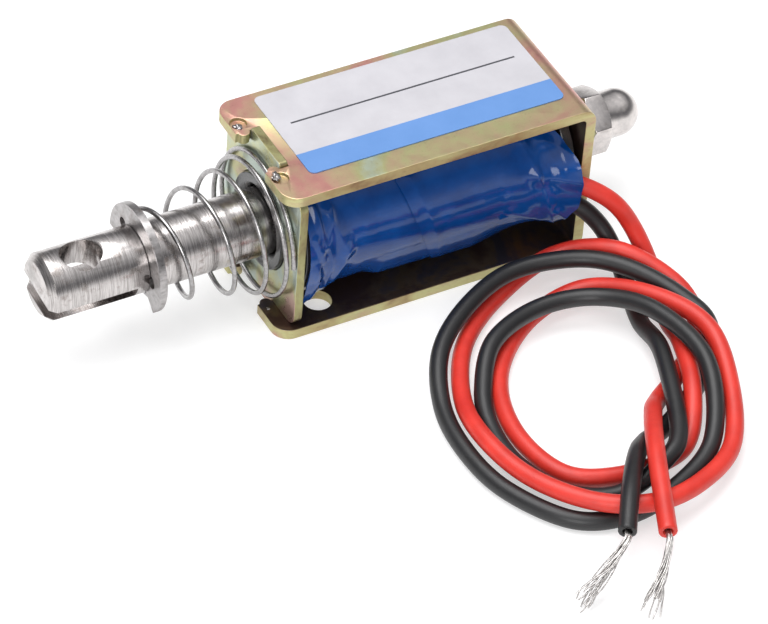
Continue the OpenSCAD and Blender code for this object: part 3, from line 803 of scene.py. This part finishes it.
def build_spring_tree(tree, flat_turns=0.75, open_turns=4.5):
    """A round wire on a cone, whose pitch shrinks towards the large end."""
    given = add(tree, "NodeGroupInput").outputs
    line = add(tree, "GeometryNodeCurvePrimitiveLine", {"End": (0.01, 0, 0)})
    fine = add(tree, "GeometryNodeResampleCurve",
               {"Curve": line.outputs[0], "Count": given["Steps"]})
    along = add(tree, "GeometryNodeSplineParameter").outputs["Factor"]
    turn = sum_up(tree, "MULTIPLY", along, given["Turns"])
    radius = sum_up(tree, "MINIMUM", given["Last radius"], sum_up(
        tree, "ADD", given["First radius"], sum_up(tree, "MULTIPLY", turn, given["Growth"])))
    # the first turn lies flat on the clip, and the pitch shrinks towards the plate
    share = sum_up(tree, "DIVIDE", sum_up(tree, "SUBTRACT", turn, flat_turns), open_turns)
    share = sum_up(tree, "MINIMUM", sum_up(tree, "MAXIMUM", share, 0.0), 1.0)
    left = sum_up(tree, "SUBTRACT", 1.0, share)
    share = sum_up(tree, "SUBTRACT", 1.0, sum_up(tree, "MULTIPLY", left, left))
    reach = sum_up(tree, "SUBTRACT", given["End"], given["Start"])
    x = sum_up(tree, "ADD", given["Start"], sum_up(tree, "MULTIPLY", reach, share))
    angle = sum_up(tree, "MULTIPLY", turn, 2 * math.pi)
    y = sum_up(tree, "MULTIPLY", sum_up(tree, "SINE", angle), sum_up(
        tree, "MULTIPLY", radius, -1.0))
    sag = sum_up(tree, "MULTIPLY", given["Sag"], sum_up(tree, "MINIMUM", turn, 1.0))
    z = sum_up(tree, "ADD", sum_up(tree, "SUBTRACT", given["Height"], sag),
               sum_up(tree, "MULTIPLY", radius, sum_up(tree, "COSINE", angle)))
    place = add(tree, "ShaderNodeCombineXYZ", {"X": x, "Y": y, "Z": z})
    coil = add(tree, "GeometryNodeSetPosition",
               {"Geometry": fine.outputs[0], "Position": place.outputs[0]})
    section = add(tree, "GeometryNodeCurvePrimitiveCircle",
                  {"Resolution": 12, "Radius": given["Wire radius"]})
    solid = add(tree, "GeometryNodeCurveToMesh",
                {"Curve": coil.outputs[0], "Profile Curve": section.outputs[0],
                 "Fill Caps": True})
    real = add(tree, "GeometryNodeRealizeInstances", {"Geometry": solid.outputs[0]})
    coated = add(tree, "GeometryNodeSetMaterial",
                 {"Geometry": real.outputs[0], "Material": given["Material"]})
    tree.links.new(coated.outputs[0], add(tree, "NodeGroupOutput").inputs[0])


build_spring_tree(spring_tree)
print("spring tree:", len(spring_tree.nodes), "nodes")

# %% Spring
CLIP_BACK = station("e_clip", 1, "x")
WIRE = 0.45
SPRING_ENDS = (CLIP_BACK + WIRE / 2 + 0.01, PLATE_X[0] - WIRE / 2 - 0.01)
spring = grow("conical_spring", new_piece("spring_seed", [(0, 0, 0)], []), spring_tree,
              SPRING_INPUTS, {"Start": SPRING_ENDS[0] * MM, "End": SPRING_ENDS[1] * MM,
                              "Height": AXIS_Z * MM, "Wire radius": WIRE / 2 * MM,
                              "Material": wire_steel})
dress(spring, "frame", "return_spring")
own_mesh(spring)

# %% [markdown]
# ## Bobbin, winding and small inner pieces
#
# The bobbin is glossy black plastic. The winding under the tape is enamelled
# copper wire, whose turns show as fine grooves round the axis. The pieces that
# hide under the tape get their own finishes too, because the model can be opened.

# %% Plastic, copper, solder and rubber
def plain_finish(name, dark, light, metallic, roughness, scale, depth, stretch=(1, 1, 1), **more):
    """A finish whose colour runs between two values in soft noise."""
    finish, tree, shader = new_finish(name, light, metallic, roughness, **more)
    place = in_mm(tree, stretch)
    cloud = noise(tree, place, scale, 4, 0.6)
    tree.links.new(ramp(tree, cloud, [(0.35, dark), (0.65, light)]), shader.inputs["Base Color"])
    rough_bump(tree, shader, noise(tree, place, 3 * scale, 4), depth, 0.5)
    return finish


black_plastic = plain_finish("black_plastic", (0.008, 0.008, 0.009), (0.018, 0.018, 0.020),
                             0.0, 0.25, 0.8, 0.01, coat_weight=0.3, coat_roughness=0.12)
copper_turns = plain_finish("copper_turns", (0.30, 0.09, 0.03), (0.62, 0.24, 0.10),
                            0.9, 0.3, 4.0, 0.05, ROUND_X)
solder = plain_finish("solder", (0.45, 0.45, 0.46), (0.70, 0.70, 0.71), 1.0, 0.35, 1.5, 0.05)
soft_rubber = plain_finish("soft_rubber", (0.012, 0.012, 0.012), (0.03, 0.03, 0.03),
                           0.0, 0.65, 1.5, 0.02)
print("inner finishes:", black_plastic.name, copper_turns.name, solder.name)

# %% Inner pieces
hard_part("bobbin_moulded", "bobbin", "frame", [black_plastic], 0.10)
hard_part("winding_copper", "winding", "frame", [copper_turns], 0.12)
hard_part("stop_washer_soft", "stop_washer", "plunger", [soft_rubber], 0.12)
hard_part("splice_red_solder", "splice_red", "frame", [solder], 0.15)
hard_part("splice_black_solder", "splice_black", "frame", [solder], 0.15)
hard_part("coil_tails_copper", "coil_tails", "frame", [copper_turns], 0.03)
print("inner pieces done")

# %% [markdown]
# ## Tape
#
# Blue polyester film is wound over the coil by hand. Two lengths of it overlap in
# a slanting line, the free end stands off below, the front edge is folded over,
# and at the rear the film is drawn over the two leads like a hood. Film bends
# but doesn't stretch, so it shows flat facets between sharp folds. A cloth
# simulation could find such folds, but they would not lie where they belong.
# Here each length is a sheet over two directions, along the axis and round it,
# whose distance from the axis is a sum of folds along chosen lines and of fine
# crumples. A Solidify modifier gives the sheet its thickness.

# %% Film finish
def film_finish(name, deep, light):
    """Glossy film whose colour runs between two values."""
    finish, tree, shader = new_finish(name, light, 0.0, 0.18, specular_ior_level=0.22,
                                      coat_weight=0.40, coat_roughness=0.04)
    place = in_mm(tree)
    cloud = noise(tree, place, 0.35, 4)
    tree.links.new(ramp(tree, cloud, [(0.35, deep), (0.65, light)]), shader.inputs["Base Color"])
    rough_bump(tree, shader, noise(tree, place, 0.5, 2, 0.4, 0.6), 0.12, 0.5)
    return finish


blue_film = film_finish("blue_film", (0.001, 0.038, 0.185), (0.002, 0.056, 0.25))
print("film finish:", blue_film.name)

# %% Folds and crumples on the unrolled film
FILM_R = 6.66
# each fold: x and angle of both ends, then how far it stands out and how wide it is
FOLDS = [
    (-10.2, 35, -8.7, 2, 0.30, 1.1), (-8.7, 2, -9.6, -34, 0.20, 1.0), (-11.6, 44, -10.9, 10, 0.26, 0.6),
    (-11.8, -5, -10.6, -34, 0.26, 0.7), (-11.9, 20, -11.0, 0, 0.18, 0.5), (8.8, 43, 9.6, 18, 0.26, 1.2),
    (9.6, 18, 11.9, -37, 0.34, 0.9), (10.5, 15, 13.2, 9, 0.20, 0.8), (11.6, -14, 13.0, -24, 0.24, 0.7),
    (7.4, -10, 10.4, -24, 0.14, 0.9), (10.9, 40, 12.6, 30, 0.18, 0.8), (-2.1, 43, 1.3, -42, 0.10, 0.9),
]
# distance of the free lower end from the axis, from front to rear
LOWER_END = [(-12.4, 7.5), (-10.9, 7.3), (-8.6, 6.75), (-6.0, 6.8), (-4.6, 7.3), (4.4, 7.4),
             (8.5, 6.75), (12.2, 6.3)]
LOWER_ANGLE = -44


def soft_step(value):
    """0 below 0, 1 above 1 and a smooth rise between them."""
    value = np.clip(value, 0, 1)
    return value * value * (3 - 2 * value)


def fold_height(x, angle):
    """Sum of the folds at a place on the film, in millimetres."""
    around = np.radians(angle) * FILM_R
    height = np.zeros_like(x)
    for x0, a0, x1, a1, tall, wide in FOLDS:
        s0, s1 = math.radians(a0) * FILM_R, math.radians(a1) * FILM_R
        span = np.array((x1 - x0, s1 - s0))
        share = ((x - x0) * span[0] + (around - s0) * span[1]) / (span @ span)
        share = np.clip(share, 0, 1)
        away = np.hypot(x - x0 - share * span[0], around - s0 - share * span[1])
        height += tall * np.clip(1 - away / wide, 0, 1) ** 1.4
    return height


def crumple_height(x, angle, seed):
    """Fine crumples, stronger towards both ends of the roll."""
    around = np.radians(angle) * FILM_R
    near_end = soft_step((-7.0 - x) / 3) + soft_step((x - 6.5) / 3)
    values = np.empty_like(x)
    for i in np.ndindex(x.shape):
        place = Vector((x[i] * 0.5, around[i] * 0.22, seed))
        values[i] = 1 - abs(noise_field.noise(place)) * 2.4
    return np.clip(values, 0, 1) ** 2 * (0.015 + 0.10 * near_end)


def hood(x, angle):
    """How far the film is lifted by the leads that pass under it at the rear."""
    width = soft_step(1 - np.clip(np.abs(angle + 3) - 20, 0, 18) / 18)
    return width * (0.40 * soft_step((x - 6.2) / 3.6) + 0.42 * np.clip(x - 10, 0, None))


def film_radius(x, angle, layer, seed):
    """Distance of the film from the axis. layer is how much lies under it."""
    lift = np.interp(x, *zip(*LOWER_END)) - FILM_R
    stand_off = lift * np.clip((-20 - angle) / 24, 0, 1) ** 1.2
    pull = -0.10 * np.sin(np.clip((x + 10.9) / 20, 0, 1) * math.pi)
    pull += 0.32 * soft_step((-10.9 - x) / 0.9)
    return (FILM_R + layer + pull + stand_off * (angle > -90) + fold_height(x, angle)
            + crumple_height(x, angle, seed) + hood(x, angle))


print("folds:", len(FOLDS))

# %% Make a sheet of film
FILM_THICK = 0.07


def film_sheet(name, front, rear, first_angle, last_angle, layer, seed, columns=150, rows=220):
    """front and rear give x at a few angles. The sheet runs between them, round the axis."""
    angle = np.linspace(first_angle, last_angle, rows)[:, None] * np.ones((1, columns))
    share = np.linspace(0, 1, columns)[None, :]
    x_front = np.interp(angle[:, :1], *zip(*front))
    x_rear = np.interp(angle[:, :1], *zip(*rear))
    x = x_front + (x_rear - x_front) * share
    # the lower end is drawn up towards the rear, where the leads pull the film out
    angle = angle + 20 * soft_step((x - 8.5) / 4) * np.clip((-10 - angle) / 30, 0, 1)
    radius = film_radius(x, angle, layer, seed)
    turn = np.radians(angle)
    points = np.stack([x, -radius * np.cos(turn), AXIS_Z + radius * np.sin(turn)], axis=2)
    faces = [(i * columns + j, (i + 1) * columns + j, (i + 1) * columns + j + 1, i * columns + j + 1)
             for i in range(rows - 1) for j in range(columns - 1)]
    piece = new_piece(name, points.reshape(-1, 3), faces, blue_film)
    wall = piece.modifiers.new("thickness", "SOLIDIFY")
    wall.thickness = FILM_THICK * MM
    wall.offset = -1
    keep_result(piece).set_sharp_from_angle(angle=math.radians(50))
    dress(piece, "frame", "tape_wrap")
    return piece


# x of each edge at a few angles
FRONT_EDGE = -12.45
SLANTED_EDGE = [(-44, 0.5), (-20, -0.8), (15, -2.4), (43, -3.4), (300, -3.4)]
HOOD_EDGE = [(-44, 12.2), (-26, 12.8), (-10, 13.2), (8, 13.3), (24, 13.2), (38, 12.7),
             (50, 11.9), (300, 11.9)]
FOLD_EDGE = [(-40, -11.6), (-28, -11.0), (-15, -11.5), (2, -10.9), (14, -11.3), (35, -11.0),
             (50, -11.5)]

left_film = film_sheet("tape_front_length", [(-44, FRONT_EDGE), (300, FRONT_EDGE)],
                       [(-44, 3.0), (300, 3.0)], LOWER_ANGLE, 296, 0.0, 3.1)
right_film = film_sheet("tape_rear_length", SLANTED_EDGE, HOOD_EDGE, LOWER_ANGLE, 290, 0.15, 7.7)
front_fold = film_sheet("tape_front_fold", [(-40, -12.5), (50, -12.5)], FOLD_EDGE,
                        -40, 50, 0.13, 5.4, 24, 90)
print("film:", [len(p.data.polygons) for p in (left_film, right_film, front_fold)])

# %% Inner roll and the patch over the splices
def inner_roll(name, front, rear, radius, columns=90, rows=96):
    """The closed roll under the outer lengths, a tube with a wall."""
    angle = np.radians(np.arange(rows) * 360 / rows)[:, None]
    x = np.linspace(front, rear, columns)[None, :] * np.ones((rows, 1))
    wave = 0.03 * np.sin(3 * x + 5 * angle) + 0.03 * np.sin(1.3 * x - 4 * angle)
    r = radius + wave
    points = np.stack([x, -r * np.cos(angle), AXIS_Z + r * np.sin(angle)], axis=2)
    faces = [(i * columns + j, (i + 1) % rows * columns + j, (i + 1) % rows * columns + j + 1,
              i * columns + j + 1) for i in range(rows) for j in range(columns - 1)]
    piece = new_piece(name, points.reshape(-1, 3), faces, blue_film)
    wall = piece.modifiers.new("thickness", "SOLIDIFY")
    wall.thickness = 2 * FILM_THICK * MM
    wall.offset = -1
    keep_result(piece)
    dress(piece, "frame", "tape_wrap")
    return piece


inner_roll("tape_inner_roll", -11.7, 9.0, 6.42)
hard_part("splice_patch_film", "splice_patch", "frame", [blue_film], 0.03)
print("tape done")

# %% [markdown]
# ## Label
#
# The label is printed film on the top face. Its printing names a maker and is
# left off: what stays is the plain field, the rule across it and the coloured band
# along its near edge. They are masks on the piece's own coordinates, so that they
# keep crisp edges at any distance.

# %% Label finish
def between(tree, value, low, high):
    """1 where the value lies between low and high."""
    above = sum_up(tree, "GREATER_THAN", value, low)
    return sum_up(tree, "MULTIPLY", above, sum_up(tree, "LESS_THAN", value, high))


BAND_TOP = -1.9
RULE_Y, RULE_HALF = 2.0, 0.10
RULE_X = (-10.1, 11.8)
label_film, tree, shader = new_finish("label_film", (0.60, 0.59, 0.65), 0.0, 0.42,
                                      coat_weight=0.2, coat_roughness=0.2)
place = in_mm(tree)
axes = add(tree, "ShaderNodeSeparateXYZ", {0: place}).outputs
cloud = noise(tree, place, 0.3, 5, 0.6)
field = ramp(tree, cloud, [(0.3, (0.47, 0.46, 0.49)), (0.7, (0.53, 0.52, 0.55))])
band = ramp(tree, cloud, [(0.3, (0.10, 0.235, 0.53)), (0.7, (0.118, 0.26, 0.57))])
painted = mix(tree, between(tree, axes["Y"], -20.0, BAND_TOP), field, band)
rule = sum_up(tree, "MULTIPLY", between(tree, axes["Y"], RULE_Y - RULE_HALF, RULE_Y + RULE_HALF),
              between(tree, axes["X"], *RULE_X))
painted = mix(tree, rule, painted, (0.05, 0.05, 0.06))
tree.links.new(painted, shader.inputs["Base Color"])
rough_bump(tree, shader, noise(tree, place, 0.8, 3), 0.03, 0.5)
hard_part("label_printed", "label", "frame", [label_film], 0.02)
print("label done")

# %% [markdown]
# ## Floor and light
#
# A product page shows the object on white. The floor is white to the camera and
# in reflections, and a plain matte floor to the light, so that it keeps the
# object's shadow. One large soft lamp above, a weaker one from the front and an
# even sky give metal something to reflect.

# %% Floor
def seen_directly(tree):
    """1 for rays from the camera or off gloss or glass, 0 for light."""
    rays = add(tree, "ShaderNodeLightPath").outputs
    first = sum_up(tree, "MAXIMUM", rays["Is Camera Ray"], rays["Is Glossy Ray"])
    return sum_up(tree, "MAXIMUM", first, rays["Is Transmission Ray"])


floor_finish = bpy.data.materials.new("floor_white")
floor_finish.use_nodes = True
tree = floor_finish.node_tree
tree.nodes.clear()
matte = add(tree, "ShaderNodeBsdfDiffuse", {"Color": (0.55, 0.55, 0.55, 1)})
glow = add(tree, "ShaderNodeEmission", {"Color": (1, 1, 1, 1), "Strength": 0.52})
lit = add(tree, "ShaderNodeAddShader", {0: matte.outputs[0], 1: glow.outputs[0]})
plain = add(tree, "ShaderNodeBsdfDiffuse", {"Color": (0.8, 0.8, 0.8, 1)})
both = add(tree, "ShaderNodeMixShader",
           {0: seen_directly(tree), 1: plain.outputs[0], 2: lit.outputs[0]})
tree.links.new(both.outputs[0], add(tree, "ShaderNodeOutputMaterial").inputs["Surface"])

FLOOR_HALF = 3000
floor = new_piece("floor", [(-FLOOR_HALF, -FLOOR_HALF, -0.02), (FLOOR_HALF, -FLOOR_HALF, -0.02),
                            (FLOOR_HALF, FLOOR_HALF, -0.02), (-FLOOR_HALF, FLOOR_HALF, -0.02)],
                  [(0, 1, 2, 3)], floor_finish, smooth=False)
print("floor:", 2 * FLOOR_HALF, "mm across")

# %% Sky
world = bpy.data.worlds.new("sky")
world.use_nodes = True
bpy.context.scene.world = world
tree = world.node_tree
tree.nodes.clear()
ray = add(tree, "ShaderNodeTexCoord").outputs["Generated"]
height = add(tree, "ShaderNodeSeparateXYZ", {0: ray}).outputs["Z"]
studio = ramp(tree, sum_up(tree, "ADD", sum_up(tree, "MULTIPLY", height, 0.5), 0.5),
              [(0.50, (1.0, 1.0, 1.0)), (0.58, (0.35, 0.35, 0.36)), (0.70, (0.14, 0.14, 0.15)),
               (0.82, (0.50, 0.50, 0.51)), (0.92, (0.90, 0.90, 0.91))])
room = add(tree, "ShaderNodeBackground", {"Color": studio, "Strength": 1.0})
white = add(tree, "ShaderNodeBackground", {"Color": (1, 1, 1, 1), "Strength": 1.0})
camera_ray = add(tree, "ShaderNodeLightPath").outputs["Is Camera Ray"]
both = add(tree, "ShaderNodeMixShader", {0: camera_ray, 1: room.outputs[0], 2: white.outputs[0]})
tree.links.new(both.outputs[0], add(tree, "ShaderNodeOutputWorld").inputs["Surface"])
print("sky:", world.name)

# %% Lamps
def soft_lamp(name, place_mm, aim_mm, size_mm, watts):
    """A rectangular lamp that looks at a point."""
    data = bpy.data.lights.new(name, "AREA")
    data.shape = "RECTANGLE"
    data.size, data.size_y = (s * MM for s in size_mm)
    data.energy = watts
    lamp = bpy.data.objects.new(name, data)
    bpy.context.scene.collection.objects.link(lamp)
    lamp.location = Vector(place_mm) * MM
    towards = Vector(aim_mm) * MM - lamp.location
    lamp.rotation_mode = "QUATERNION"
    lamp.rotation_quaternion = towards.to_track_quat("-Z", "Y")
    return lamp


soft_lamp("lamp_above", (-60, 60, 420), (0, -10, 0), (420, 300), 1.7)
soft_lamp("lamp_front", (-260, -360, 220), (0, -10, 8), (240, 200), 0.9)
bpy.context.scene.view_settings.view_transform = "Standard"
